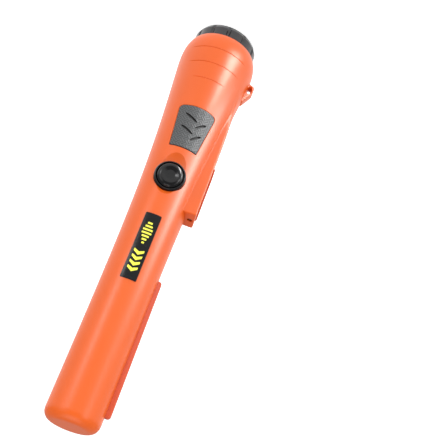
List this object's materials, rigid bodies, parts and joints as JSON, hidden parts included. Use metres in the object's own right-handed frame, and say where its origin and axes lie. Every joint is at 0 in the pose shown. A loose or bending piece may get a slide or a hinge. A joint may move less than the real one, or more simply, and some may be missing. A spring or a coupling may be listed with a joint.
{
  "type": "pinpointer probe",
  "caption": "Handheld metal-detecting probe: slim sensing tip, flared handle with push button, thumb pad, flashlight keel, scraper blade, lanyard loop and screw-on battery cap.",
  "frame": {"origin": "centre of the battery cap's flat end face, which the probe stands on", "axes": "+Z along the probe towards its sensing tip, -Y out of the push button, -X out of the flashlight keel"},
  "size_m": [0.0433, 0.0402, 0.225],
  "materials": {
    "casing_plastic": "satin moulded orange",
    "blade_plastic": "satin deeper orange",
    "pad_rubber": "fine woven texture, dark grey",
    "label_film": "glossy printed film",
    "button_plastic": "glossy black",
    "cap_plastic": "glossy charcoal",
    "inner_plastic": "moulded black",
    "bobbin_plastic": "natural white moulding",
    "seal_rubber": "matt black",
    "foam": "open-cell foam",
    "clear_resin": "clear moulding",
    "battery_jacket": "thin metal jacket",
    "board": "green glass-fibre laminate",
    "chip_resin": "moulded resin",
    "capacitor_sleeve": "shrunk sleeve",
    "ferrite": "sintered dark grey",
    "copper": "enamelled copper wire",
    "brass": "plated",
    "steel": "plated"
  },
  "bodies": {
    "probe": {"main_casing": "casing_plastic", "side_housing": "casing_plastic", "lanyard_loop": "casing_plastic", "scraper_blade": "blade_plastic", "thumb_pad": "pad_rubber", "front_label": "label_film", "button_bezel": "button_plastic", "button_seal": "seal_rubber", "switch_body": "steel", "flashlight_led": "clear_resin", "led_lens": "clear_resin", "led_cable": "seal_rubber", "battery": "battery_jacket", "battery_terminal_male": "steel", "battery_terminal_female": "steel", "contact_socket": "brass", "contact_stud": "brass", "contact_board": "board", "bulkhead": "inner_plastic", "bulkhead_o_ring": "seal_rubber", "bulkhead_screw_1": "steel", "bulkhead_screw_2": "steel", "circuit_board": "board", "electronics_frame": "inner_plastic", "board_screw_1": "steel", "board_screw_2": "steel", "board_screw_3": "steel", "board_screw_4": "steel", "microcontroller": "chip_resin", "amplifier_chip": "chip_resin", "capacitor_large": "capacitor_sleeve", "capacitor_small": "capacitor_sleeve", "inductor": "copper", "coil_connector": "inner_plastic", "sounder": "brass", "sounder_gasket": "seal_rubber", "vibration_motor": "steel", "motor_clip": "brass", "ferrite_core": "ferrite", "coil_bobbin": "bobbin_plastic", "coil_winding": "copper", "coil_cable": "seal_rubber", "tip_cushion": "foam"},
    "button": {"button_cap": "button_plastic", "switch_plunger": "inner_plastic"},
    "cap_seal": {"cap_cushion": "foam", "cap_o_ring": "seal_rubber"},
    "screw_cap": {"battery_cap": "cap_plastic"},
    "motor_rotor": {"motor_shaft": "steel", "eccentric_weight": "steel"}
  },
  "joints": [
    {"name": "button_press", "type": "slide", "parent": "probe", "child": "button", "axis": [0, 0.9925, -0.1219], "range_m": [0, 0.0008], "stiffness_N_per_m": 800, "springref_m": -0.0005},
    {"name": "cap_travel", "type": "slide", "parent": "probe", "child": "cap_seal", "axis": [0, 0, -1], "range_m": [0, 0.00625]},
    {"name": "cap_turn", "type": "hinge", "parent": "cap_seal", "child": "screw_cap", "pos_m": [0, 0, 0], "axis": [0, 0, -1], "range_deg": [0, 751]},
    {"name": "motor_spin", "type": "hinge", "parent": "probe", "child": "motor_rotor", "pos_m": [0, 0.00345, 0.1225], "axis": [0, 0, 1], "continuous": true}
  ],
  "couplings": [
    {"joint": "cap_turn", "follows": "cap_travel", "rad_per_m": 2094.4}
  ]
}
